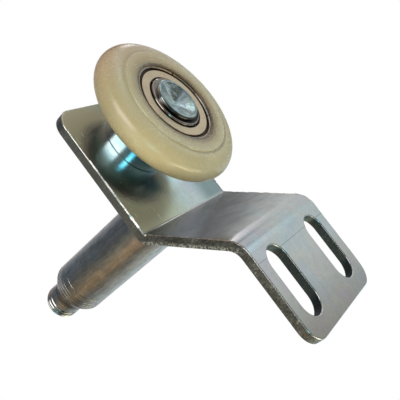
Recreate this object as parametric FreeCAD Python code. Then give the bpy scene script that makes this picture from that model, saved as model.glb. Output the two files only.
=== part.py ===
import FreeCAD, Part
import math
import os
from FreeCAD import Vector as V

# Sliding door hanger roller, in millimetres.
# Origin: roller axis at the middle of the tread. +X across the bracket,
# +Y along the roller axis from the roller's open face towards the post,
# +Z up, with the roller above the slotted flange.

# ---- folded bracket -------------------------------------------------------
SHEET = 3.0             # sheet thickness
WIDTH = 50.0            # sheet width
PLATE_Y = 16.1          # front face of the roller plate
PLATE_TOP = 16.9        # top edge above the roller axis
BEND1_Z = -27.8         # front mould line of the valley bend
FOLD_DEG = 53.34        # turn of each bend
WEB_LEN = 30.85         # front length of the sloping web between mould lines
FLANGE_LEN = 33.88      # length of the slotted flange below its mould line
BEND1_R = 0.8           # inside radius of the valley bend
BEND2_R = 5.0           # inside radius of the ridge bend
CORNER_R = 6.0          # rounded corners of the sheet
SLOT_X = 14.5           # each slot's centre from the middle of the sheet
SLOT_Z = -63.2          # slot centre height
SLOT_L = 23.0           # slot length end to end
SLOT_W = 10.5           # slot width
DIE_ROLL = 0.4          # rounded edge on the punch side of the cut edges
BURR_EDGE = 0.12        # broken edge on the other side

# ---- deep groove ball bearing, 12 x 32 x 10, shielded on both sides -------
BRG_BORE_R = 6.0
BRG_OUT_R = 16.0
BRG_HALF = 5.0          # half the width
PITCH_R = 11.0
BALL_R = 5.953 / 2
BALLS = 7
RACE_GAP = 0.01         # running clearance between ball and raceway
RACE_R = 3.12           # raceway groove radius
INNER_LAND_R = 9.225
OUTER_LAND_R = 12.85
CAGE_GAP = 0.06         # pocket clearance round a ball
CAGE_T = 0.6            # cage sheet
CAGE_IN_R = 9.95
CAGE_OUT_R = 12.05
RIVET_R = 0.4
RIVET_HEAD_R = 0.68
RIVET_HEAD_H = 0.3
SHIELD_BORE_R = 9.55
SHIELD_Y = 4.45         # flat of each shield, a little below the ring faces
SHIELD_FLAT_R = 12.5
SHIELD_RIM_R = 13.85
NOTCHES = 9             # slits round the crimped rim of each shield
NOTCH_W = 0.4
NOTCH_PHASE = 6.6

# ---- nylon tyre -----------------------------------------------------------
TYRE_R = 25.75
TYRE_HALF = 5.5         # half the hub width
TREAD_A = 6.15          # radial half axis of the round tread
TREAD_B = 5.08          # axial half axis of the round tread
HUB_R = 19.3            # raised hub on each face
LIP_R = 14.4            # moulded lip over the bearing's outer ring
PITS = [(18.1, 34.1, 0.42), (16.5, -36.0, 0.5)]   # small moulding pits: r, angle, radius

# ---- axle pin -------------------------------------------------------------
JOURNAL_R = 5.995
HEAD_R = 7.8            # flared front end
HEAD_H = 1.2            # how far it stands in front of the inner ring
DISH_R = 6.0            # conical dish left by the flaring
DISH_DEPTH = 2.2
BOSS_R = 8.6            # shoulder on the inner ring
BOSS_H = 1.5
COLLAR_R = 11.7
TENON_R = 7.0
TAIL_R = 9.6            # riveted tail behind the plate
TAIL_H = 2.2

# ---- rear post ------------------------------------------------------------
POST_Z = -22.85
POST_R = 9.65
POST_END_Y = 74.3       # end of the full diameter
STUB_Y = 80.0           # end of the conical shoulder
STUB_R = 6.4
STUB_TIP_Y = 88.4

os.makedirs("parts", exist_ok=True)
Y_AXIS = V(0, 1, 0)
ORIGIN = V(0, 0, 0)


def rounded_edges(points):
    """Edges of a closed polygon of (u, v, corner radius), with tangent arcs."""
    n = len(points)
    ends = []
    for i in range(n):
        a, b, c = points[i - 1], points[i], points[(i + 1) % n]
        r = b[2] if len(b) > 2 else 0.0
        p = V(b[0], b[1], 0)
        if r <= 0:
            ends.append((p, None, p))
            continue
        u = V(a[0], a[1], 0).sub(p)
        w = V(c[0], c[1], 0).sub(p)
        u.normalize()
        w.normalize()
        half = u.getAngle(w) / 2
        cut = r / math.tan(half)
        bis = u.add(w)
        bis.normalize()
        mid = p.add(bis.multiply(r / math.sin(half) - r))
        ends.append((p.add(V(u).multiply(cut)), mid, p.add(V(w).multiply(cut))))
    edges = []
    for i in range(n):
        s, m, e = ends[i]
        if m is not None:
            edges.append(Part.Arc(s, m, e).toShape())
        nxt = ends[(i + 1) % n][0]
        if e.distanceToPoint(nxt) > 1e-7:
            edges.append(Part.LineSegment(e, nxt).toShape())
    return edges


def rounded_path(points):
    """Edges of an open path of (u, v, corner radius), with tangent arcs at its inner corners."""
    first, last = V(points[0][0], points[0][1], 0), V(points[-1][0], points[-1][1], 0)
    edges = []
    for e in rounded_edges(points):
        ends = [v.Point for v in e.Vertexes]
        closing = any(q.distanceToPoint(first) < 1e-7 for q in ends) and any(q.distanceToPoint(last) < 1e-7 for q in ends)
        if not closing:
            edges.append(e)
    return edges


def face_of(edges):
    return Part.Face(Part.Wire(edges))


def lathe(points):
    """Turned solid from a profile of (radius, y, corner radius)."""
    solid = face_of(rounded_edges(points)).revolve(ORIGIN, Y_AXIS, 360)
    return tidy(solid)


def tidy(shape):
    if shape.ShapeType != "Solid" and len(shape.Solids) == 1:
        shape = shape.Solids[0]
    if shape.Volume < 0:
        shape.reverse()
    return shape


def mirrored(points):
    """Profile mirrored to the other side of the bearing's mid-plane."""
    return [(p[0], -p[1]) + tuple(p[2:]) for p in reversed(points)]


def save(shape, name):
    shape = tidy(shape)
    assert shape.isValid(), name
    shape.exportStep("parts/%s.step" % name)
    print("%-20s solids %2d  volume %9.2f" % (name, len(shape.Solids), shape.Volume))


# ---- bracket: one folded sheet ---------------------------------------------
fold = math.radians(FOLD_DEG)
front_y = PLATE_Y - WEB_LEN * math.sin(fold)      # front face of the slotted flange
bend2_z = BEND1_Z - WEB_LEN * math.cos(fold)
end_z = bend2_z - FLANGE_LEN
shift = SHEET * math.tan(fold / 2)
outline = [
    (PLATE_Y, PLATE_TOP),
    (PLATE_Y, BEND1_Z, BEND1_R),
    (front_y, bend2_z, BEND2_R + SHEET),
    (front_y, end_z),
    (front_y + SHEET, end_z),
    (front_y + SHEET, bend2_z - shift, BEND2_R),
    (PLATE_Y + SHEET, BEND1_Z - shift, BEND1_R + SHEET),
    (PLATE_Y + SHEET, PLATE_TOP),
]
section = face_of(rounded_edges(outline))
# the section is drawn in (y, z): turn it into the plane x = -WIDTH / 2
turn = FreeCAD.Matrix(0, 0, 1, -WIDTH / 2, 1, 0, 0, 0, 0, 1, 0, 0, 0, 0, 0, 1)
section = section.transformed(turn)
sheet = section.extrude(V(WIDTH, 0, 0))
sheet = tidy(sheet)
corners = []
for e in sheet.Edges:
    a, b = e.Vertexes[0].Point, e.Vertexes[-1].Point
    if abs(a.x - b.x) < 1e-6 and abs(a.z - b.z) < 1e-6 and abs(abs(a.y - b.y) - SHEET) < 1e-6:
        if abs(a.z - PLATE_TOP) < 1e-6 or abs(a.z - end_z) < 1e-6:
            corners.append(e)
sheet = sheet.makeFillet(CORNER_R, corners)

for side in (-1, 1):
    x = side * SLOT_X
    h = SLOT_L / 2 - SLOT_W / 2
    r = SLOT_W / 2
    y = front_y - 1
    p = [V(x - r, y, SLOT_Z - h), V(x - r, y, SLOT_Z + h), V(x + r, y, SLOT_Z + h), V(x + r, y, SLOT_Z - h)]
    slot = face_of([
        Part.LineSegment(p[0], p[1]).toShape(),
        Part.Arc(p[1], V(x, y, SLOT_Z + h + r), p[2]).toShape(),
        Part.LineSegment(p[2], p[3]).toShape(),
        Part.Arc(p[3], V(x, y, SLOT_Z - h - r), p[0]).toShape(),
    ])
    sheet = sheet.cut(slot.extrude(V(0, SHEET + 2, 0)))
hole = Part.makeCylinder(TENON_R + 0.02, SHEET + 2, V(0, PLATE_Y - 1, 0), Y_AXIS)
sheet = tidy(sheet.cut(hole))


def on_front(pt):
    """True on the punch-side skin of the folded sheet."""
    if abs(pt.y - PLATE_Y) < 1e-4 and pt.z > BEND1_Z:
        return True
    if abs(pt.y - front_y) < 1e-4 and pt.z < bend2_z:
        return True
    # web skin: distance to the mould plane
    d = (pt.y - PLATE_Y) * math.cos(fold) - (pt.z - BEND1_Z) * math.sin(fold)
    return front_y - 0.01 < pt.y < PLATE_Y + 0.01 and abs(d) < 1e-4


def border(e):
    """True for an edge of the cut outline, not one between two skin faces."""
    return abs(abs(e.CenterOfMass.x) - WIDTH / 2) < 1e-6


rim = []
for e in sheet.Edges:
    pts = [e.valueAt(e.FirstParameter + (e.LastParameter - e.FirstParameter) * f) for f in (0.15, 0.5, 0.85)]
    flat_front = all(abs(q.y - PLATE_Y) < 1e-4 for q in pts) or all(abs(q.y - front_y) < 1e-4 for q in pts)
    if border(e):
        # long borders run down both sides, through the bends
        mid = pts[1]
        inside = [on_front(q) for q in pts]
        if all(inside):
            rim.append(e)
            continue
        c = e.Curve
        if isinstance(c, Part.Circle) and abs(c.Radius - BEND1_R) < 1e-4 and mid.y < PLATE_Y + 1:
            rim.append(e)
        elif isinstance(c, Part.Circle) and abs(c.Radius - BEND2_R - SHEET) < 1e-4 and mid.y < front_y + 3:
            rim.append(e)
    elif flat_front:
        c = e.Curve
        hole_edge = isinstance(c, Part.Circle) and abs(c.Radius - TENON_R - 0.02) < 1e-4
        straight_across = isinstance(c, Part.Line) and abs(pts[0].z - pts[2].z) < 1e-6 and \
            abs(pts[1].z - PLATE_TOP) > 1e-4 and abs(pts[1].z - end_z) > 1e-4
        if not hole_edge and not straight_across:
            rim.append(e)
sheet = tidy(sheet.makeFillet(DIE_ROLL, rim))
save(sheet, "bracket")

# ---- bearing rings ---------------------------------------------------------
H = BRG_HALF
race_o = PITCH_R + BALL_R + RACE_GAP - RACE_R     # centre of the outer groove
race_i = PITCH_R - BALL_R - RACE_GAP + RACE_R     # centre of the inner groove
SEAT_Y = 3.70                                     # shield seat
SEAT_R = 14.3
MOUTH_R = 14.0
yo = math.sqrt(RACE_R ** 2 - (OUTER_LAND_R - race_o) ** 2)
yi = math.sqrt(RACE_R ** 2 - (race_i - INNER_LAND_R) ** 2)


def ring(points, a, mid, b):
    """Turned ring whose profile runs through points from b round to a, closed by the raceway arc."""
    edges = []
    for p, q in zip(points[:-1], points[1:]):
        edges.append(Part.LineSegment(V(p[0], p[1], 0), V(q[0], q[1], 0)).toShape())
    edges.append(Part.Arc(V(a[0], a[1], 0), V(mid[0], mid[1], 0), V(b[0], b[1], 0)).toShape())
    return tidy(face_of(edges).revolve(ORIGIN, Y_AXIS, 360))


C = 0.45
outer_pts = [
    (OUTER_LAND_R, yo), (OUTER_LAND_R, SEAT_Y), (SEAT_R, SEAT_Y), (SEAT_R, 4.72), (MOUTH_R, 4.78),
    (MOUTH_R, H - 0.12), (MOUTH_R + 0.12, H), (BRG_OUT_R - C, H), (BRG_OUT_R, H - C),
    (BRG_OUT_R, -H + C), (BRG_OUT_R - C, -H), (MOUTH_R + 0.12, -H), (MOUTH_R, -H + 0.12),
    (MOUTH_R, -4.78), (SEAT_R, -4.72), (SEAT_R, -SEAT_Y), (OUTER_LAND_R, -SEAT_Y), (OUTER_LAND_R, -yo),
]
outer = ring(outer_pts, (OUTER_LAND_R, -yo), (race_o + RACE_R, 0), (OUTER_LAND_R, yo))
save(outer, "bearing_outer_ring")

D = 0.4
inner_pts = [
    (INNER_LAND_R, yi), (INNER_LAND_R, H - 0.55), (INNER_LAND_R - 0.06, H - 0.34), (INNER_LAND_R - 0.2, H - 0.15),
    (INNER_LAND_R - 0.4, H - 0.04), (INNER_LAND_R - 0.62, H), (BRG_BORE_R + D, H), (BRG_BORE_R, H - D),
    (BRG_BORE_R, -H + D), (BRG_BORE_R + D, -H), (INNER_LAND_R - 0.62, -H), (INNER_LAND_R - 0.4, -H + 0.04),
    (INNER_LAND_R - 0.2, -H + 0.15), (INNER_LAND_R - 0.06, -H + 0.34), (INNER_LAND_R, -H + 0.55), (INNER_LAND_R, -yi),
]
inner = ring(inner_pts, (INNER_LAND_R, -yi), (race_i - RACE_R, 0), (INNER_LAND_R, yi))
save(inner, "bearing_inner_ring")

# ---- balls -----------------------------------------------------------------
STEP = 360.0 / BALLS


def at_angle(deg, r):
    a = math.radians(deg)
    return V(r * math.cos(a), 0, r * math.sin(a))


ball_pos = [at_angle(90 + i * STEP, PITCH_R) for i in range(BALLS)]
for i, pos in enumerate(ball_pos):
    ball = Part.makeSphere(BALL_R)
    ball.translate(pos)
    save(ball, "bearing_ball_%d" % (i + 1))

# ---- ribbon cage: two pressed halves and their rivets ------------------------
pocket_r = BALL_R + CAGE_GAP


def band(y0, y1):
    a = Part.makeCylinder(CAGE_OUT_R, y1 - y0, V(0, y0, 0), Y_AXIS)
    b = Part.makeCylinder(CAGE_IN_R, y1 - y0 + 2, V(0, y0 - 1, 0), Y_AXIS)
    return a.cut(b)


rivet_pos = [at_angle(90 + (i + 0.5) * STEP, PITCH_R) for i in range(BALLS)]


def pocket_ball(radius, pos):
    """Sphere at a ball's place, its axis radial and its seam on the +Y side."""
    er = V(pos).normalize()
    ey = er.cross(Y_AXIS)
    m = FreeCAD.Matrix(0, ey.x, er.x, pos.x, 1, ey.y, er.y, pos.y, 0, ey.z, er.z, pos.z, 0, 0, 0, 1)
    return Part.makeSphere(radius).transformed(m)


shells = [pocket_ball(pocket_r + CAGE_T, pos) for pos in ball_pos]
pockets = [pocket_ball(pocket_r, pos) for pos in ball_pos]
half = band(-CAGE_T, 0).fuse([band(-4, 0).common(s) for s in shells])
half = half.cut(Part.makeCompound(pockets))
for pos in rivet_pos:
    half = half.cut(Part.makeCylinder(RIVET_R, 4, V(pos.x, -2, pos.z), Y_AXIS))
half = tidy(half.removeSplitter())
save(half, "cage_front_half")
save(half.mirror(ORIGIN, Y_AXIS), "cage_rear_half")
rivets = []
for pos in rivet_pos:
    body = [
        (0, -CAGE_T - RIVET_HEAD_H), (RIVET_HEAD_R, -CAGE_T - RIVET_HEAD_H, 0.18), (RIVET_HEAD_R, -CAGE_T),
        (RIVET_R, -CAGE_T), (RIVET_R, CAGE_T),
        (RIVET_HEAD_R, CAGE_T), (RIVET_HEAD_R, CAGE_T + RIVET_HEAD_H, 0.18), (0, CAGE_T + RIVET_HEAD_H),
    ]
    rv = lathe(body)
    rv.translate(pos)
    rivets.append(rv)
save(Part.makeCompound(rivets), "cage_rivets")

# ---- shields: pressed discs with a crimped, slit rim -------------------------
shield_profile = [
    (SHIELD_BORE_R, -SHIELD_Y, 0.1), (SHIELD_FLAT_R, -SHIELD_Y, 0.14), (SHIELD_FLAT_R + 0.18, -4.0, 0.1),
    (13.4, -4.0, 0.08), (13.5, -4.68, 0.16), (14.1, -4.68, 0.2), (14.26, -4.2), (14.26, -3.72),
    (12.5, -3.72, 0.2), (12.3, -SHIELD_Y + 0.3, 0.1), (SHIELD_BORE_R, -SHIELD_Y + 0.3, 0.05),
]
for sign, name in ((-1, "front_shield"), (1, "rear_shield")):
    pts = shield_profile if sign < 0 else mirrored(shield_profile)
    sh = lathe(pts)
    for i in range(NOTCHES):
        y0 = -5.2 if sign < 0 else 4.22
        n = Part.makeBox(1.2, 0.98, NOTCH_W, V(13.3, y0, -NOTCH_W / 2))
        n.rotate(ORIGIN, Y_AXIS, -(NOTCH_PHASE + i * 360.0 / NOTCHES))
        sh = sh.cut(n)
    save(tidy(sh), name)

# ---- tyre: nylon moulded round the bearing -----------------------------------
T = TYRE_HALF
ell_r = TYRE_R - TREAD_A
half_side = [
    (BRG_OUT_R, H - C), (BRG_OUT_R - C, H), (LIP_R, H), (LIP_R, H + 0.1, 0.08), (LIP_R + 1.6, T, 0.9),
    (HUB_R - 0.25, T, 0.32),
    (HUB_R + 0.02, TREAD_B, 0.16), (ell_r, TREAD_B),
]
edges = rounded_path(half_side)
ell = Part.Ellipse(V(ell_r, 0, 0), TREAD_A, TREAD_B)
tread = ell.toShape(-math.pi / 2, math.pi / 2)
edges.append(tread)
edges += rounded_path([(q[0], -q[1]) + tuple(q[2:]) for q in half_side])
edges.append(Part.LineSegment(V(BRG_OUT_R, -(H - C), 0), V(BRG_OUT_R, H - C, 0)).toShape())
tyre = tidy(Part.Face(Part.Wire(Part.__sortEdges__(edges))).revolve(ORIGIN, Y_AXIS, 360))
for r, deg, size in PITS:
    c = at_angle(deg, r)
    pit = Part.makeSphere(size)
    pit.translate(V(c.x, -T - size * 0.45, c.z))
    tyre = tyre.cut(pit)
save(tidy(tyre), "roller_tyre")

# ---- axle pin: flared through the bearing, riveted through the plate ----------
ytop = -H - HEAD_H
boss_end = H + BOSS_H
axle = lathe([
    (0, ytop + DISH_DEPTH), (0.9, ytop + DISH_DEPTH, 0.6), (DISH_R, ytop + 0.22, 0.5), (DISH_R + 0.55, ytop, 0.5),
    (HEAD_R, ytop + 0.06, 0.8), (HEAD_R - 0.12, -H, 0.05), (JOURNAL_R, -H),
    (JOURNAL_R, H), (BOSS_R, H, 0.2), (BOSS_R, boss_end), (COLLAR_R, boss_end, 0.6),
    (COLLAR_R, PLATE_Y, 0.25), (TENON_R, PLATE_Y), (TENON_R, PLATE_Y + SHEET),
    (TAIL_R, PLATE_Y + SHEET), (TAIL_R, PLATE_Y + SHEET + 0.7, 0.3), (TAIL_R - 2.4, PLATE_Y + SHEET + TAIL_H, 2.0),
    (0, PLATE_Y + SHEET + TAIL_H),
])
save(axle, "axle_pin")

# ---- rear post: turned bar with a conical shoulder and a plain spigot ---------
post = lathe([
    (0, PLATE_Y + SHEET), (POST_R, PLATE_Y + SHEET, 0.3), (POST_R, POST_END_Y, 0.3), (STUB_R, STUB_Y, 0.4),
    (STUB_R, STUB_TIP_Y - 1.2, 0.3), (STUB_R - 1.1, STUB_TIP_Y, 0.3), (0, STUB_TIP_Y),
])
post.translate(V(0, 0, POST_Z))
save(post, "rear_post")
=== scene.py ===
import math
import random

import bpy
from mathutils import Matrix, Vector


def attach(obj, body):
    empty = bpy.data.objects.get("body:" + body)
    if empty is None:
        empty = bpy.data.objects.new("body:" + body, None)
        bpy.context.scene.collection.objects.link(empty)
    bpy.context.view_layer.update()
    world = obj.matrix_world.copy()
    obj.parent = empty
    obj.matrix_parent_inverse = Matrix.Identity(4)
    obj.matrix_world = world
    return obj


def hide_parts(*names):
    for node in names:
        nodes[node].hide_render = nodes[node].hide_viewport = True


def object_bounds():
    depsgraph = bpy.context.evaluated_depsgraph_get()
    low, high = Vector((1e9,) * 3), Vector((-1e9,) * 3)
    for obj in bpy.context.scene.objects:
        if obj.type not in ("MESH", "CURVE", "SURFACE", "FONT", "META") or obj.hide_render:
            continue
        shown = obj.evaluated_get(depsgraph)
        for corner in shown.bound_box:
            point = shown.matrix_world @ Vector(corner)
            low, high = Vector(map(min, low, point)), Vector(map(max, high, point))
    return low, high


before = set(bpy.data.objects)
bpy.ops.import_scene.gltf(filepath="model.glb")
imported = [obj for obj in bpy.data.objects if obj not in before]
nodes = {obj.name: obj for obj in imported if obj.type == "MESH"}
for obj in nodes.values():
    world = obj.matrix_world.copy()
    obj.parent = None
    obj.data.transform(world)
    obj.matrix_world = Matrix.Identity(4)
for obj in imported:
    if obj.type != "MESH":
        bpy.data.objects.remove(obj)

cad_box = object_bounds()
MM = 0.001


# ---------------------------------------------------------------- node helpers

def put(tree, socket, value):
    if isinstance(value, bpy.types.NodeSocket):
        tree.links.new(value, socket)
    elif isinstance(value, (tuple, list)) and socket.type == "RGBA" and len(value) == 3:
        socket.default_value = (*value, 1.0)
    else:
        socket.default_value = value


class Graph:
    """Short names for the nodes that the finishes are made of."""

    def __init__(self, tree):
        self.t = tree
        tree.nodes.clear()

    def node(self, kind, inputs=None, **props):
        n = self.t.nodes.new(kind)
        for k, v in props.items():
            setattr(n, k, v)
        for k, v in (inputs or {}).items():
            put(self.t, n.inputs[k], v)
        return n

    def math(self, op, a, b=0.0, c=0.0, clamp=False):
        n = self.node("ShaderNodeMath", {0: a, 1: b, 2: c}, operation=op)
        n.use_clamp = clamp
        return n.outputs[0]

    def add(self, a, b):
        return self.math("ADD", a, b)

    def sub(self, a, b):
        return self.math("SUBTRACT", a, b)

    def mul(self, a, b):
        return self.math("MULTIPLY", a, b)

    def vec(self, op, a, b=(0, 0, 0)):
        n = self.node("ShaderNodeVectorMath", {0: a, 1: b}, operation=op)
        return n.outputs["Value" if op in ("DOT_PRODUCT", "LENGTH", "DISTANCE") else "Vector"]

    def scaled(self, v, s):
        return self.vec("MULTIPLY", v, s)

    def span(self, v, a, b, lo=0.0, hi=1.0, smooth=False):
        n = self.node(
            "ShaderNodeMapRange",
            {"Value": v, "From Min": a, "From Max": b, "To Min": lo, "To Max": hi},
            interpolation_type="SMOOTHSTEP" if smooth else "LINEAR",
        )
        return n.outputs["Result"]

    def mix(self, fac, a, b, blend="MIX"):
        n = self.node("ShaderNodeMix", data_type="RGBA", blend_type=blend)
        put(self.t, n.inputs[0], fac)
        put(self.t, n.inputs[6], a)
        put(self.t, n.inputs[7], b)
        return n.outputs[2]

    def ramp(self, fac, stops, mode="LINEAR"):
        n = self.node("ShaderNodeValToRGB", {"Fac": fac})
        n.color_ramp.interpolation = mode
        e = n.color_ramp.elements
        while len(e) < len(stops):
            e.new(0.5)
        for i, (p, c) in enumerate(stops):
            e[i].position = p
            e[i].color = (*c, 1.0) if len(c) == 3 else c
        return n.outputs["Color"]

    def noise(self, v, scale, detail=2.0, rough=0.5, distort=0.0):
        n = self.node(
            "ShaderNodeTexNoise",
            {"Vector": v, "Scale": scale, "Detail": detail, "Roughness": rough, "Distortion": distort},
        )
        return n.outputs["Fac"]

    def cells(self, v, scale, feature="F1"):
        n = self.node("ShaderNodeTexVoronoi", {"Vector": v, "Scale": scale}, feature=feature)
        return n.outputs["Distance"]

    def xyz(self, v):
        n = self.node("ShaderNodeSeparateXYZ", {0: v})
        return n.outputs[0], n.outputs[1], n.outputs[2]

    def pack(self, x, y, z):
        return self.node("ShaderNodeCombineXYZ", {0: x, 1: y, 2: z}).outputs[0]

    def coords(self):
        return self.node("ShaderNodeTexCoord")

    def edges(self, radius, lo=0.02, hi=0.35):
        """1 along convex and concave edges, from the rounded normal against the true one."""
        soft = self.node("ShaderNodeBevel", {"Radius": radius}, samples=6).outputs[0]
        true = self.node("ShaderNodeNewGeometry").outputs["Normal"]
        return self.span(self.sub(1.0, self.vec("DOT_PRODUCT", soft, true)), lo, hi)

    def bump(self, height, strength, distance, normal=None):
        n = self.node("ShaderNodeBump", {"Height": height, "Strength": strength, "Distance": distance})
        if normal is not None:
            put(self.t, n.inputs["Normal"], normal)
        return n.outputs[0]

    def finish(self, **inputs):
        p = self.node("ShaderNodeBsdfPrincipled")
        for k, v in inputs.items():
            put(self.t, p.inputs[k.replace("_", " ")], v)
        out = self.node("ShaderNodeOutputMaterial")
        self.t.links.new(p.outputs[0], out.inputs["Surface"])
        return p


def material(name):
    m = bpy.data.materials.new(name)
    m.use_nodes = True
    return m, Graph(m.node_tree)


def dress(mat, *names):
    for n in names:
        data = nodes[n].data
        data.materials.clear()
        data.materials.append(mat)


# ---------------------------------------------------------------- finishes

def plated_tint(g, p, scale=70.0):
    """Blue, straw and rose clouds of a thin clear passivation over bright zinc."""
    cloud = g.noise(p, scale, 3.0, 0.55, 0.4)
    return g.ramp(cloud, [
        (0.28, (0.60, 0.66, 0.70)),
        (0.42, (0.65, 0.67, 0.69)),
        (0.52, (0.68, 0.67, 0.63)),
        (0.62, (0.68, 0.63, 0.67)),
        (0.75, (0.62, 0.67, 0.71)),
    ])


def zinc_sheet():
    m, g = material("zinc_sheet")
    tc = g.coords()
    p, nrm = tc.outputs["Object"], tc.outputs["Normal"]
    nx, ny, nz = g.xyz(nrm)
    x, y, z = g.xyz(p)
    face = plated_tint(g, p)
    # fine plated grain and handling marks
    grain = g.noise(p, 2600.0, 3.0, 0.6)
    mottle = g.noise(p, 420.0, 3.0, 0.6)
    rolled = g.noise(g.scaled(p, (260.0, 260.0, 14.0)), 6.0, 3.0, 0.6)
    face = g.mix(g.span(mottle, 0.40, 0.7, 0.0, 0.16), face, (0.46, 0.47, 0.48))
    face = g.mix(g.span(g.noise(p, 1300.0, 3.0, 0.6), 0.42, 0.68, 0.0, 0.24), face, (0.42, 0.42, 0.43))
    face = g.mix(g.span(grain, 0.55, 0.8, 0.0, 0.30), face, (0.82, 0.83, 0.84))
    # smudges drawn out along the bend lines, heaviest on the web
    smudge = g.noise(g.scaled(p, (0.30, 1.0, 1.0)), 210.0, 4.0, 0.62, 0.5)
    on_web = g.mul(g.span(z, -0.0275, -0.0285), g.span(z, -0.046, -0.040))
    face = g.mix(g.mul(g.span(smudge, 0.42, 0.70), g.add(0.10, g.mul(on_web, 0.50))), face, (0.30, 0.26, 0.26))
    # painted shade in the corner of the first bend, fading down the web, darker and bluer towards the left end
    corner = g.mul(g.span(z, -0.042, -0.0288), g.span(z, -0.0276, -0.0284))
    face = g.mix(g.mul(corner, g.span(x, 0.016, -0.018, 0.36, 0.86)), face, (0.21, 0.20, 0.215))
    face = g.mix(g.mul(corner, g.span(x, 0.002, -0.018)), face, g.mix(1.0, face, (0.60, 0.66, 0.80), "MULTIPLY"))
    face = g.mix(on_web, face, g.mix(1.0, face, (1.0, 0.965, 0.965), "MULTIPLY"))
    # painted shade and reflection round the collar: a blue cast close round it, and a deeper bluish darkening below
    # and to the left of it
    away = g.vec("LENGTH", g.pack(x, 0.0, z))
    blue = g.mul(g.span(g.add(away, g.span(mottle, 0.3, 0.7, -0.0006, 0.0006)), 0.0205, 0.0130, 0.0, 0.72, True),
                 g.math("LESS_THAN", ny, -0.8))
    face = g.mix(blue, face, (0.58, 0.68, 0.71))
    deep = g.mul(g.mul(g.span(away, 0.0215, 0.0165, smooth=True), g.span(z, -0.004, -0.010, smooth=True)), g.math("LESS_THAN", ny, -0.8))
    deep = g.mul(deep, g.span(x, -0.001, -0.0068, smooth=True))
    face = g.mix(deep, face, g.mix(1.0, face, (0.45, 0.62, 0.72), "MULTIPLY"))
    # painted reflection: a straw-coloured, less metallic patch on the plate stands in for the lit rear of the roller
    # seen in it, left off inside a painted round of the roller's shade
    roller_shade_dist = g.vec("LENGTH", g.pack(g.add(x, 0.011), 0.0, g.add(z, 0.005)))
    straw_reflection = g.mul(g.span(roller_shade_dist, 0.0126, 0.0172, smooth=True), g.span(z, -0.0290, -0.0270))
    straw_reflection = g.mul(g.mul(straw_reflection, g.span(x, 0.004, -0.006)), g.math("LESS_THAN", ny, -0.8))
    face = g.mix(g.mul(straw_reflection, 0.75), face, (0.78, 0.74, 0.52))
    # painted shade: teal cast on the plate inside the roller's shade, close round the collar
    shade_teal = g.mul(g.span(roller_shade_dist, 0.0150, 0.0115, smooth=True), g.span(away, 0.0135, 0.0175, smooth=True))
    face = g.mix(g.mul(shade_teal, g.math("LESS_THAN", ny, -0.8)), face, g.mix(1.0, face, (0.72, 0.98, 1.08), "MULTIPLY"))
    # painted shade: darker and bluish on the plate's right side beneath the roller
    shade_under_roller = g.mul(g.mul(g.span(x, 0.0085, 0.0175, smooth=True), g.span(z, -0.0280, -0.0270)), g.span(z, -0.008, -0.016))
    face = g.mix(g.mul(g.mul(shade_under_roller, 0.88), g.math("LESS_THAN", ny, -0.8)), face, (0.26, 0.31, 0.31))
    # the plate is the dullest, the web was burnished between the bending tools
    base = g.math("MAXIMUM", g.span(z, -0.0300, -0.0265, 0.14, 0.25), g.span(z, -0.046, -0.052, 0.14, 0.20))
    # less handled, so less dull, close to the collar
    base = g.mul(base, g.span(away, 0.0215, 0.0165, 1.0, 0.62, True))
    rough = g.add(base, g.span(mottle, 0.3, 0.7, -0.012, 0.018))
    rough = g.add(rough, g.span(rolled, 0.3, 0.7, -0.015, 0.02))
    # line pressed across the flange by the shoulder of the bending die
    wander = g.add(z, g.span(g.noise(p, 120.0, 2.0, 0.5), 0.3, 0.7, -0.00010, 0.00010))
    die = g.span(g.math("ABSOLUTE", g.add(wander, 0.05375)), 0.00022, 0.00006)
    die = g.mul(die, g.math("LESS_THAN", ny, -0.8))
    face = g.mix(g.mul(die, 0.24), face, (0.30, 0.29, 0.33))
    # sheared side: striped across the sheet by the tool, with torn brighter grains
    cut = g.span(g.math("ABSOLUTE", ny), 0.50, 0.30)
    torn = g.noise(g.scaled(p, (1.0, 0.45, 1.0)), 2300.0, 4.0, 0.68)
    patch = g.noise(p, 190.0, 2.0, 0.5)
    side = g.ramp(g.add(g.mul(torn, 0.7), g.mul(patch, 0.3)), [
        (0.36, (0.085, 0.083, 0.08)),
        (0.50, (0.19, 0.19, 0.185)),
        (0.59, (0.28, 0.28, 0.27)),
        (0.66, (0.74, 0.74, 0.72)),
    ])
    side = g.mix(g.span(z, -0.0300, -0.0250, 0.0, 0.30), side, (0.56, 0.56, 0.54))
    inward = g.sub(g.mul(g.sub(y, 0.0161), 0.597), g.mul(g.add(z, 0.0278), 0.802))
    rag = g.mul(g.span(inward, 0.0016, 0.0024), g.mul(g.span(z, -0.0275, -0.0295), g.span(z, -0.0500, -0.0470)))
    side = g.mix(g.mul(rag, g.span(g.noise(p, 1700.0, 3.0, 0.6), 0.46, 0.58)), side, (0.88, 0.88, 0.86))
    # painted shade: the punched slot walls are darker and more teal than the sheared sides
    slot_shade = g.mul(g.math("LESS_THAN", g.math("ABSOLUTE", x), 0.0215), g.math("LESS_THAN", z, -0.050))
    slot_shade = g.mul(slot_shade, g.math("GREATER_THAN", z, -0.0768))
    side = g.mix(g.mul(slot_shade, 0.85), side, (0.060, 0.085, 0.095))
    side_rough = g.span(torn, 0.3, 0.75, 0.50, 0.28)
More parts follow.
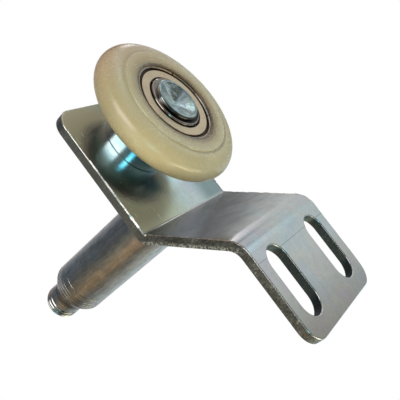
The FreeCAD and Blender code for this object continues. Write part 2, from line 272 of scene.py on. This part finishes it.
    # lighter along the edges: partly edge wear of the plating, partly painted highlight, weaker at the top of the
    # plate
    edge = g.edges(0.00035, 0.03, 0.30)
    colour = g.mix(cut, face, side)
    rough = g.add(g.mul(rough, g.sub(1.0, cut)), g.mul(side_rough, cut))
    edge = g.mul(edge, g.span(z, -0.004, 0.001, 1.0, 0.4))
    colour = g.mix(g.mul(edge, g.span(mottle, 0.35, 0.6, 0.25, 0.9)), colour, (0.82, 0.82, 0.81))
    h = g.add(g.mul(grain, 0.55), g.mul(mottle, 0.45))
    n1 = g.bump(h, 0.07, 0.00005)
    n2 = g.bump(g.mul(torn, cut), 0.45, 0.00012, n1)
    n3 = g.bump(die, 0.25, 0.00008, n2)
    g.finish(Base_Color=colour, Metallic=g.sub(1.0, g.mul(straw_reflection, 0.45)), Roughness=rough, Normal=n3)
    return m


def zinc_turned(name, cx, cz, rough0, ring, tint=(1.0, 1.0, 1.0), speck=0.3, dish=False, shoulder=0.0):
    """Plated turned bar with its axis along Y through (cx, cz): fine tool rings along its length."""
    m, g = material(name)
    tc = g.coords()
    p = tc.outputs["Object"]
    x, y, z = g.xyz(p)
    r = g.vec("LENGTH", g.pack(g.sub(x, cx), 0.0, g.sub(z, cz)))
    ringco = g.pack(g.mul(y, 1.0), g.mul(r, 1.0), 0.0)
    fine = g.noise(ringco, 5200.0, 2.0, 0.6)
    broad = g.noise(ringco, 900.0, 2.0, 0.5)
    mottle = g.noise(p, 380.0, 3.0, 0.6)
    grain = g.noise(p, 2600.0, 3.0, 0.6)
    face = g.mix(1.0, plated_tint(g, p, 90.0), tint, "MULTIPLY")
    drawn = g.noise(g.scaled(p, (1.0, 0.16, 1.0)), 900.0, 4.0, 0.65)
    face = g.mix(g.span(mottle, 0.4, 0.72, 0.0, speck), face, (0.40, 0.40, 0.41))
    face = g.mix(g.span(drawn, 0.42, 0.7, 0.0, speck), face, (0.34, 0.34, 0.34))
    face = g.mix(g.span(grain, 0.58, 0.8, 0.0, speck), face, (0.82, 0.83, 0.84))
    edge = g.edges(0.0003, 0.03, 0.3)
    face = g.mix(g.mul(edge, 0.25 if dish else 0.5), face, (0.82, 0.82, 0.81))
    if shoulder:
        stained = g.mul(g.span(y, shoulder - 0.0001, shoulder + 0.0004), g.span(y, shoulder + 0.0072, shoulder + 0.0064))
        face = g.mix(g.mul(stained, 0.60), face, (0.17, 0.135, 0.11))
        # painted shade in the tool rings of the bar and spigot, on their lower side
        groove = g.mul(g.span(r, 0.009647, 0.009640), g.math("LESS_THAN", y, shoulder))
        groove = g.mul(groove, g.mul(g.math("GREATER_THAN", y, shoulder - 0.007), g.span(z, cz - 0.001, cz - 0.003)))
        face = g.mix(g.mul(groove, 0.9), face, (0.10, 0.09, 0.085))
        tip = g.mul(g.span(r, 0.00639, 0.00636), g.mul(g.span(y, 0.0829, 0.0830), g.span(y, 0.0864, 0.0863)))
        face = g.mix(g.mul(g.mul(tip, g.span(z, cz - 0.0005, cz - 0.0025)), 0.9), face, (0.10, 0.09, 0.085))
        # painted light: the upper-left side of the shoulder is lighter and less metallic
        up = g.math("DIVIDE", g.vec("DOT_PRODUCT", g.pack(g.sub(x, cx), 0.0, g.sub(z, cz)), (-0.766, 0.0, 0.643)), r)
        upper_light = g.mul(g.span(up, 0.80, 0.95, smooth=True), g.span(mottle, 0.3, 0.55, 0.35, 1.0))
        upper_light = g.mul(upper_light, g.mul(g.span(y, 0.0708, 0.0728, smooth=True), g.span(y, 0.0752, 0.0744)))
        face = g.mix(g.mul(upper_light, 0.8), face, (0.50, 0.47, 0.49))
    rough = g.add(rough0, g.span(fine, 0.3, 0.7, -0.03, 0.05))
    rough = g.add(rough, g.span(mottle, 0.3, 0.7, -0.02, 0.05))
    n1 = g.bump(g.add(g.mul(fine, 0.6), g.mul(broad, 0.4)), ring, 0.00005)
    n2 = g.bump(g.add(g.mul(grain, 0.6), g.mul(drawn, 0.4)), 0.2 * speck, 0.00006, n1)
    if dish:
        # smears and dents that the flaring tool leaves in the dish
        turn = g.noise(g.pack(g.math("DIVIDE", x, r), g.math("DIVIDE", z, r), g.mul(r, 60.0)), 1.7, 2.0, 0.5)
        dent = g.noise(p, 420.0, 2.0, 0.5)
        inside = g.mul(g.math("LESS_THAN", r, 0.0064), g.math("LESS_THAN", y, -0.003))
        smear = g.add(g.mul(turn, 0.6), g.mul(dent, 0.5))
        n2 = g.bump(g.mul(smear, inside), 0.45, 0.0007, n2)
        # painted shade: the flat rim round the dish is darker, patchy with the dents
        lip = g.mul(g.mul(g.span(r, 0.0058, 0.0064), g.span(r, 0.0079, 0.0073)), g.math("LESS_THAN", y, -0.0052))
        face = g.mix(g.mul(lip, g.span(dent, 0.3, 0.62, 0.25, 0.85)), face, (0.27, 0.29, 0.29))
        # painted shade beneath the flared rim, darkest at the bottom
        low = g.math("DIVIDE", g.vec("DOT_PRODUCT", p, (-0.208, 0.0, -0.978)), r)
        rim_underside_shade = g.mul(g.mul(g.span(r, 0.0072, 0.0075), g.math("LESS_THAN", y, -0.004)), g.span(low, -0.10, 0.35, 0.0, 1.0, True))
        face = g.mix(g.mul(rim_underside_shade, 0.92), face, (0.020, 0.015, 0.013))
    g.finish(Base_Color=face, Metallic=g.sub(1.0, g.mul(upper_light, 0.6)) if shoulder else 1.0, Roughness=rough, Normal=n2)
    return m


def nylon():
    m, g = material("nylon")
    tc = g.coords()
    p = tc.outputs["Object"]
    x, y, z = g.xyz(p)
    r = g.vec("LENGTH", g.pack(x, 0.0, z))
    cloud = g.noise(p, 60.0, 3.0, 0.55, 0.3)
    fleck = g.noise(p, 1500.0, 3.0, 0.65)
    colour = g.ramp(cloud, [
        (0.25, (0.74, 0.605, 0.350)),
        (0.50, (0.78, 0.655, 0.410)),
        (0.75, (0.81, 0.695, 0.470)),
    ])
    # older and browner on the rim; pinker towards the top, painted warm light from above; round the bearing seat a
    # grease stain deepening into painted shade at the lip
    colour = g.mix(g.span(r, 0.0215, 0.0257, 0.0, 0.40, True), colour, (0.80, 0.62, 0.34))
    colour = g.mix(g.span(z, 0.008, 0.025, 0.0, 0.65, True), colour, (0.80, 0.52, 0.35))
    ragged = g.add(r, g.span(g.noise(p, 420.0, 3.0, 0.6), 0.3, 0.7, -0.0002, 0.0002))
    colour = g.mix(g.span(ragged, 0.0188, 0.0150, 0.0, 0.64, True), colour, (0.52, 0.28, 0.10))
    colour = g.mix(g.span(ragged, 0.0151, 0.0145, 0.0, 0.80, True), colour, (0.20, 0.095, 0.035))
    # painted shade along the hub step, heaviest on the lower side
    hub_step_shade = g.mul(g.span(ragged, 0.0189, 0.0194, smooth=True), g.span(ragged, 0.0202, 0.0196, smooth=True))
    low = g.math("DIVIDE", g.vec("DOT_PRODUCT", p, (0.45, 0.0, -0.893)), r)
    colour = g.mix(g.mul(g.mul(hub_step_shade, g.span(low, -0.3, 0.75, 0.12, 0.62, True)), g.span(y, 0.0, -0.001)), colour, (0.34, 0.23, 0.11))
    dirt = g.math("MULTIPLY", g.span(fleck, 0.62, 0.75), g.span(cloud, 0.42, 0.62))
    colour = g.mix(g.mul(dirt, 0.35), colour, (0.24, 0.17, 0.10))
    rough = g.add(0.25, g.span(cloud, 0.3, 0.7, -0.04, 0.06))
    rough = g.add(rough, g.span(fleck, 0.35, 0.7, -0.03, 0.05))
    scuff = g.noise(g.pack(g.mul(r, 3.0), g.mul(y, 3.0), 0.0), 700.0, 3.0, 0.6)
    n = g.bump(g.add(g.mul(fleck, 0.5), g.mul(scuff, 0.5)), 0.10, 0.00010)
    g.finish(
        Base_Color=colour, Roughness=rough, Normal=n, IOR=1.65, Specular_IOR_Level=0.6, Coat_Weight=0.3, Coat_Roughness=0.42,
        Subsurface_Weight=0.65, Subsurface_Radius=(0.0048, 0.0048, 0.0047), Subsurface_Scale=1.0,
    )
    return m


def steel(name, dark, light, rough0, ring=0.3, grease=0.0, grooves=(), rim=None):
    """Hardened or pressed bearing steel with rings about the roller axis.

    grooves holds (r0, r1, depth, all round): between those radii, below that height, the colour is painted near-black
    as shade in the gaps between the bearing parts; where not all round, that painted shade is heaviest on the lower
    side.
    """
    m, g = material(name)
    p = g.coords().outputs["Object"]
    x, y, z = g.xyz(p)
    r = g.vec("LENGTH", g.pack(x, 0.0, z))
    ringco = g.pack(r, y, 0.0)
    fine = g.noise(ringco, 6000.0, 2.0, 0.6)
    cloud = g.noise(p, 260.0, 3.0, 0.6)
    grain = g.noise(p, 3000.0, 3.0, 0.6)
    colour = g.mix(g.span(cloud, 0.3, 0.7), dark, light)
    colour = g.mix(g.span(grain, 0.55, 0.8, 0.0, 0.3), colour, tuple(0.75 * c for c in dark))
    if rim:
        # painted highlight on one side of the shield's crimped rim
        rim_highlight = g.span(g.math("DIVIDE", g.vec("DOT_PRODUCT", p, (0.906, 0.0, -0.423)), r), 0.84, 0.94)
        colour = g.mix(g.math("GREATER_THAN", r, rim), colour, g.mix(rim_highlight, (0.54, 0.41, 0.32), (0.95, 0.91, 0.87)))
    edge = g.edges(0.0002, 0.03, 0.3)
    colour = g.mix(g.mul(edge, 0.6), colour, tuple(min(0.85, 1.25 * c) for c in light))
    if grease:
        oil = g.noise(p, 500.0, 4.0, 0.65, 0.6)
        colour = g.mix(g.span(oil, 0.5, 0.68, 0.0, grease), colour, (0.10, 0.07, 0.045))
    rough = g.add(rough0, g.span(cloud, 0.3, 0.7, -0.04, 0.06))
    if grooves:
        wander = g.add(r, g.span(cloud, 0.3, 0.7, -0.00008, 0.00008))
        gap_shade = 0.0
        # painted shade in the gaps between the bearing parts
        for r0, r1, depth, all_round in grooves:
            here = g.mul(g.span(wander, r0 - 0.0001, r0 + 0.0001), g.span(wander, r1 + 0.0001, r1 - 0.0001))
            here = g.mul(here, g.span(g.math("ABSOLUTE", y), depth, depth - 0.00012))
            if not all_round:
                low = g.math("DIVIDE", g.vec("DOT_PRODUCT", p, (-0.208, 0.0, -0.978)), r)
                here = g.mul(here, g.span(low, -0.15, 0.45, 0.10, 1.0, True))
            gap_shade = g.math("MAXIMUM", gap_shade, here)
        colour = g.mix(g.mul(gap_shade, 0.95), colour, (0.014, 0.010, 0.008))
        rough = g.add(g.mul(rough, g.sub(1.0, gap_shade)), g.mul(0.42, gap_shade))
    n = g.bump(g.add(g.mul(fine, 0.7), g.mul(grain, 0.3)), ring * 0.3, 0.00004)
    g.finish(Base_Color=colour, Metallic=1.0, Roughness=rough, Normal=n)
    return m


SHEET_ZINC = zinc_sheet()
dress(SHEET_ZINC, "bracket")
dress(zinc_turned("zinc_pin", 0.0, 0.0, 0.14, 0.10, (0.86, 0.98, 1.0), 0.22, True), "axle_pin")
POST_ZINC = zinc_turned("zinc_post", 0.0, -0.02285, 0.18, 0.16, (0.95, 0.95, 0.95), 0.85, False, 0.0742)
dress(POST_ZINC, "rear_post")
dress(nylon(), "roller_tyre")
dress(steel("bearing_steel", (0.24, 0.155, 0.10), (0.40, 0.29, 0.21), 0.30, 0.4, 0.6,
            [(0.0125, 0.0160, 0.0049, True)]), "bearing_outer_ring")
dress(steel("inner_ring_steel", (0.36, 0.29, 0.26), (0.46, 0.38, 0.34), 0.08, 0.10, 0.15,
            [(0.0085, 0.0095, 0.00475, True), (0.0060, 0.0086, 0.0052, False)]), "bearing_inner_ring")
dress(steel("shield_steel", (0.80, 0.57, 0.40), (0.92, 0.69, 0.49), 0.38, 0.3, 0.15,
            [(0.0125, 0.0137, 0.0044, True), (0.0092, 0.0098, 0.0050, True)], 0.01345), "front_shield", "rear_shield")
dress(steel("ball_steel", (0.66, 0.66, 0.66), (0.74, 0.74, 0.73), 0.10, 0.0, 0.1),
      *[f"bearing_ball_{i}" for i in range(1, 8)])
dress(steel("cage_steel", (0.48, 0.47, 0.45), (0.60, 0.59, 0.57), 0.30, 0.2, 0.2),
      "cage_front_half", "cage_rear_half", "cage_rivets")


# ---------------------------------------------------------------- turned post

def turned(name, profile, cx, cz, steps=160):
    """Closed solid of revolution about a line along Y; profile is (radius, y) in millimetres, from axis to axis."""
    verts, faces = [], []
    rows = []
    for r, y in profile:
        if r < 1e-6:
            rows.append([len(verts)])
            verts.append((cx, y * MM, cz))
            continue
        rows.append(list(range(len(verts), len(verts) + steps)))
        for i in range(steps):
            a = 2 * math.pi * i / steps
            verts.append((cx + r * MM * math.cos(a), y * MM, cz + r * MM * math.sin(a)))
    for a, b in zip(rows[:-1], rows[1:]):
        for i in range(steps):
            j = (i + 1) % steps
            if len(a) == 1:
                faces.append((a[0], b[j], b[i]))
            elif len(b) == 1:
                faces.append((a[i], a[j], b[0]))
            else:
                faces.append((a[i], a[j], b[j], b[i]))
    mesh = bpy.data.meshes.new(name)
    mesh.from_pydata(verts, [], faces)
    mesh.validate()
    mesh.polygons.foreach_set("use_smooth", [True] * len(mesh.polygons))
    mesh.set_sharp_from_angle(angle=math.radians(11))
    ob = bpy.data.objects.new(name, mesh)
    bpy.context.scene.collection.objects.link(ob)
    return ob


def post_profile():
    """Full bar, coarse tool rings on the conical shoulder and spigot, broken edges at both ends."""
    out = [(0, 19.1), (9.4, 19.1), (9.58, 19.16), (9.65, 19.32)]
    y = 19.9
    while y < 67.6:
        out.append((9.65, y))
        y += 2.4
    for start, deep in ((68.2, 0.040), (70.9, 0.045), (72.2, 0.035), (73.35, 0.045)):
        out += [(9.65, start - 0.2), (9.65 - deep, start), (9.65, start + 1.45 * deep)]
    out += [(9.65, 74.1), (9.58, 74.42), (8.52, 76.28), (8.43, 76.36), (8.44, 76.5), (7.30, 78.4), (7.21, 78.46),
            (7.22, 78.6), (6.52, 79.8), (6.4, 80.05)]
    for start, depth in ((80.6, 0.03), (81.8, 0.03)):
        out += [(6.4, start), (6.4 - depth * 0.5, start + 0.5), (6.4 - depth, start + 0.85),
                (6.4 - depth * 0.1, start + 1.0), (6.4, start + 1.1)]
    for start in (83.7, 85.25):
        out += [(6.4, start), (6.15, start + 0.52), (6.12, start + 0.56), (6.37, start + 0.81), (6.4, start + 0.88)]
    out += [(6.38, 86.5), (6.2, 86.92), (6.17, 86.96), (6.24, 87.03), (6.18, 87.25), (5.98, 87.72), (5.42, 88.26),
            (5.24, 88.37), (5.0, 88.4), (2.0, 88.38), (0, 88.36)]
    return out


post = turned("rear_post_turned", post_profile(), 0.0, -0.02285)
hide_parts("rear_post")
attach(post, "hanger")
post.data.materials.append(POST_ZINC)


# ---------------------------------------------------------------- burr along the sheared sides

def front_skin():
    """(y, z) down the front skin of the folded sheet, in millimetres, every quarter of a millimetre."""
    fold = math.radians(53.34)
    py, b1 = 16.1, -27.8
    fy, b2 = py - 30.85 * math.sin(fold), b1 - 30.85 * math.cos(fold)
    cut = 8.0 * math.tan(fold / 2)
    back = (fy + math.sin(fold) * cut, b2 + math.cos(fold) * cut)
    line = [(py, 10.6), (py, b1), back]
    for i in range(1, 12):
        a = fold * (1 - i / 12)
        line.append((fy + 8.0 * (1 - math.cos(a)), b2 - cut + 8.0 * math.sin(a)))
    line += [(fy, b2 - cut), (fy, -73.9)]
    out = []
    for a, b in zip(line[:-1], line[1:]):
        n = max(1, round(math.dist(a, b) / 0.25))
        out += [(a[0] + (b[0] - a[0]) * i / n, a[1] + (b[1] - a[1]) * i / n) for i in range(n)]
    return out + [line[-1]]


def burr(name, side, seed, heavy):
    """Thin ragged lip that the shear leaves on the front corner of one side."""
    rng = random.Random(seed)
    path = front_skin()
    count = len(path)
    lumps = [rng.uniform(-1, 1) for _ in range(count // 3 + 4)]
    fine = [rng.uniform(-1, 1) for _ in range(count + 4)]

    # the heavy stretch is a row of torn scales, each leaning a little further out as it goes down
    lean, tooth = [], 0.0
    flat, width, tilt = [], 0.6, 0.0
    left = 0
    for y, z in path:
        if left <= 0 or not -28.0 < z < -0.8:
            left, tooth = rng.randint(7, 20), rng.uniform(0.0, 0.10)
            width, tilt = rng.uniform(0.30, 0.68), rng.uniform(-13, 13)
        lean.append(tooth if -28.0 < z < -0.8 else 0.0)
        flat.append((width, tilt))
        tooth += 0.25 * rng.uniform(0.09, 0.13)
        left -= 1

    def lump(i):
        k, f = divmod(i / 3.0, 1.0)
        return lumps[int(k)] * (1 - f) + lumps[int(k) + 1] * f

    verts, faces = [], []
    for i, (y, z) in enumerate(path):
        a, b = path[max(0, i - 1)], path[min(count - 1, i + 1)]
        ty, tz = b[0] - a[0], b[1] - a[1]
        t = math.hypot(ty, tz) or 1.0
        oy, oz = tz / t, -ty / t          # out of the front skin
        if z > 9.2:
            base = 0.10 + 0.16 * heavy
        elif z > -0.8:
            base = 0.04
        elif z > -28.2:
            base = 0.32 * heavy + 0.06
        elif z > -42.0:
            base = 0.13
        elif z > -52.0:
            base = 0.10 + 0.08 * heavy
        else:
            base = 0.09
        ends = min(1.0, (i + 0.3) / 5, (count - 0.7 - i) / 5)
        out = lean[i] * heavy
        rad = base * ends * (1.0 + (0.20 if out else 0.45) * lump(i) + 0.10 * fine[i])
        cx = side * (24.84 + 0.8 * out + 0.04 * lump(i + 2))
        inset = 0.10 - 0.25 * rad - 0.5 * out
        ring = []
        if heavy > 0.9 and (-27.6 < z < -0.8 or 8.2 < z < 10.2):
            # torn face, square to the middle of the corner
            wide, turn = flat[i]
            turn = math.radians(35.5 + turn)
            wide *= (0.5 + 0.12 * fine[i]) * (0.6 if z > 0 else 1.0)
            off = 0.03 + 0.35 * out
            for along in (-wide, 0.0, wide):
                ring.append((off * math.cos(turn) - along * math.sin(turn), off * math.sin(turn) + along * math.cos(turn)))
            ring += [(-0.42, -0.12), (-0.34, -0.45), (-0.12, -0.50)]
        else:
            for k in range(6):
                w = math.radians(60 * k + 20)
                ring.append((side * cx - 25.0 + rad * math.cos(w), rad * math.sin(w) - inset))
        for u, v in ring:
            verts.append((side * (25.0 + u) * MM, max(y + v * oy, -8.644) * MM, (z + v * oz) * MM))
    for i in range(count - 1):
        for k in range(6):
            a, b = i * 6 + k, i * 6 + (k + 1) % 6
            quad = (a, b, b + 6, a + 6)
            faces.append(quad if side < 0 else quad[::-1])
    cap0 = tuple(range(6))
    cap1 = tuple(range((count - 1) * 6, count * 6))
    faces += [cap0[::-1], cap1] if side < 0 else [cap0, cap1[::-1]]
    mesh = bpy.data.meshes.new(name)
    mesh.from_pydata(verts, [], faces)
    mesh.validate()
    mesh.polygons.foreach_set("use_smooth", [True] * len(mesh.polygons))
    mesh.set_sharp_from_angle(angle=math.radians(40))
    mesh.materials.append(BURR_ZINC)
    ob = bpy.data.objects.new(name, mesh)
    bpy.context.scene.collection.objects.link(ob)
    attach(ob, "hanger")


def bright_zinc():
    m, g = material("zinc_burr")
    p = g.coords().outputs["Object"]
    fleck = g.noise(p, 2200.0, 3.0, 0.6)
    colour = g.ramp(fleck, [(0.32, (0.26, 0.26, 0.25)), (0.48, (0.56, 0.56, 0.55)), (0.66, (0.84, 0.84, 0.83))])
    g.finish(Base_Color=colour, Metallic=1.0, Roughness=g.span(fleck, 0.3, 0.7, 0.40, 0.26),
             Normal=g.bump(g.noise(p, 1300.0, 2.0, 0.5), 0.3, 0.00010))
    return m


BURR_ZINC = bright_zinc()
burr("left_edge_burr", -1, 11, 1.0)
burr("right_edge_burr", 1, 29, 0.3)


# ---------------------------------------------------------------- stage and light

def towards(az, el):
    a, e = math.radians(az), math.radians(el)
    return (math.cos(e) * math.cos(a), math.cos(e) * math.sin(a), math.sin(e))


# lamps and walls: colour, then rectangles as azimuth, elevation, half width, half height, edge softness (degrees)
# (azimuth goes from +X towards +Y)
BOXES = [
    ((4.1, 3.9, 2.8), [(-90, -88, 21, 21, 4)]),                                                # bounce from the table
    ((2.85, 2.75, 2.6), [(-142, 19, 14, 20.5, 2.5)]),                                           # main soft box
    ((1.2, 4.0, 4.6), [(-138, -29, 7, 5, 2)]),                                                 # small cool lamp, low
    ((0.51, 0.55, 0.55), [(-18, 19, 11.5, 9.5, 3), (-1, 27, 11.4, 13, 1.9), (-38, 4, 18, 11, 4)]),  # pale wall to the right
    ((2.0, 2.0, 2.0), [(-3, 38, 7, 4.0, 2)]),                                                   # lit top of that wall
]
# glows: azimuth, elevation, width (degrees), colour
GLOWS = [
    (-35, 9, 5, (0.18, 0.40, 0.43)),
    (-31, -12, 5, (0.20, 0.13, 0.09)),
    (-73, 24, 12, (0.56, 0.64, 0.64)),
    (-34, 42, 8, (0.80, 0.98, 0.98)),
    (-48, 28, 5, (1.3, 1.6, 1.65)),
    (53, 12, 17, (0.72, 0.65, 0.65)),     # backdrop
    (17, -34, 24, (0.78, 0.92, 0.95)),
    (72, -63, 16, (0.40, 0.36, 0.28)),
    (111, 7, 10, (0.34, 0.19, 0.08)),     # warm, low, behind
    (145, -26, 17, (0.39, 0.22, 0.08)),
    (-178, -4, 18, (0.9, 1.08, 0.98)),    # left
    (-85, -48, 20, (0.34, 0.33, 0.24)),   # table in front
    (106, 28, 13, (0.12, 0.14, 0.17)),
    (64, 51, 10, (0.14, 0.18, 0.22)),
    (-60, 74, 18, (0.50, 0.32, 0.26)),    # fill from above
]
AMBIENT_UP = (0.06, 0.07, 0.07)
AMBIENT_DOWN = (0.06, 0.08, 0.08)


def studio():
    world = bpy.data.worlds.new("studio")
    bpy.context.scene.world = world
    world.use_nodes = True
    g = Graph(world.node_tree)
    d = g.coords().outputs["Generated"]
    z = g.xyz(d)[2]
    total = g.mix(g.span(z, -0.5, 0.5), AMBIENT_DOWN, AMBIENT_UP)

    def shine(amount, colour):
        glow = g.mix(1.0, g.pack(amount, amount, amount), colour, "MULTIPLY")
        return g.mix(1.0, total, glow, "ADD")

    for az, el, width, colour in GLOWS:
        k = 1.0 / math.radians(width) ** 2
        total = shine(g.math("EXPONENT", g.mul(g.sub(g.vec("DOT_PRODUCT", d, towards(az, el)), 1.0), k)), colour)
    for colour, panels in BOXES:
        amount = 0.0
        for az, el, wide, high, soft in panels:
            ahead = Vector(towards(az, el))
            across = ahead.cross(Vector((0, 0, 1))).normalized()
            above = across.cross(ahead)
            depth = g.vec("DOT_PRODUCT", d, tuple(ahead))
            one = g.math("GREATER_THAN", depth, 0.05)
            for axis, half in ((across, wide), (above, high)):
                off = g.math("DIVIDE", g.vec("DOT_PRODUCT", d, tuple(axis)), g.math("MAXIMUM", depth, 0.05))
                lo, hi = math.tan(math.radians(max(0.3, half - soft))), math.tan(math.radians(half + soft))
                one = g.mul(one, g.span(g.math("ABSOLUTE", off), hi, lo, smooth=True))
            amount = g.math("MAXIMUM", amount, one)
        total = shine(amount, colour)
    room = g.node("ShaderNodeBackground", {"Color": total, "Strength": 1.0})
    white = g.node("ShaderNodeBackground", {"Color": (1.0, 1.0, 1.0), "Strength": 1.0})
    ray = g.node("ShaderNodeLightPath").outputs["Is Camera Ray"]
    both = g.node("ShaderNodeMixShader", {0: ray, 1: room.outputs[0], 2: white.outputs[0]})
    out = g.node("ShaderNodeOutputWorld")
    g.t.links.new(both.outputs[0], out.inputs["Surface"])


studio()


def floor():
    s, z = 1.5, cad_box[0][2] - 0.0002
    mesh = bpy.data.meshes.new("floor")
    mesh.from_pydata([(-s, -s, z), (s, -s, z), (s, s, z), (-s, s, z)], [], [(0, 1, 2, 3)])
    ob = bpy.data.objects.new("floor", mesh)
    bpy.context.scene.collection.objects.link(ob)
    m, g = material("floor")
    white = g.node("ShaderNodeEmission", {"Color": (1.0, 1.0, 1.0), "Strength": 1.0})
    out = g.node("ShaderNodeOutputMaterial")
    g.t.links.new(white.outputs[0], out.inputs["Surface"])
    mesh.materials.append(m)
    ob.visible_diffuse = ob.visible_glossy = ob.visible_transmission = ob.visible_shadow = False


floor()


def camera():
    right = Vector((0.4862, -0.6369, -0.5983)).normalized()
    ahead = Vector((0.8348, 0.5409, 0.1026)).normalized()
    up = right.cross(ahead).normalized()
    right = ahead.cross(up).normalized()
    data = bpy.data.cameras.new("camera")
    data.sensor_fit = "HORIZONTAL"
    data.sensor_width = 36.0
    data.lens = 648.492 / 400.0 * 36.0
    data.clip_start = 0.01
    ob = bpy.data.objects.new("camera", data)
    bpy.context.scene.collection.objects.link(ob)
    turn = Matrix((right, up, -ahead)).transposed().to_4x4()
    ob.matrix_world = Matrix.Translation((-0.169729, -0.100119, -0.048651)) @ turn
    bpy.context.scene.camera = ob


camera()

view = bpy.context.scene.view_settings
view.view_transform = "Standard"
view.look = "None"
view.exposure = 0.0
view.gamma = 1.0

bpy.context.view_layer.update()
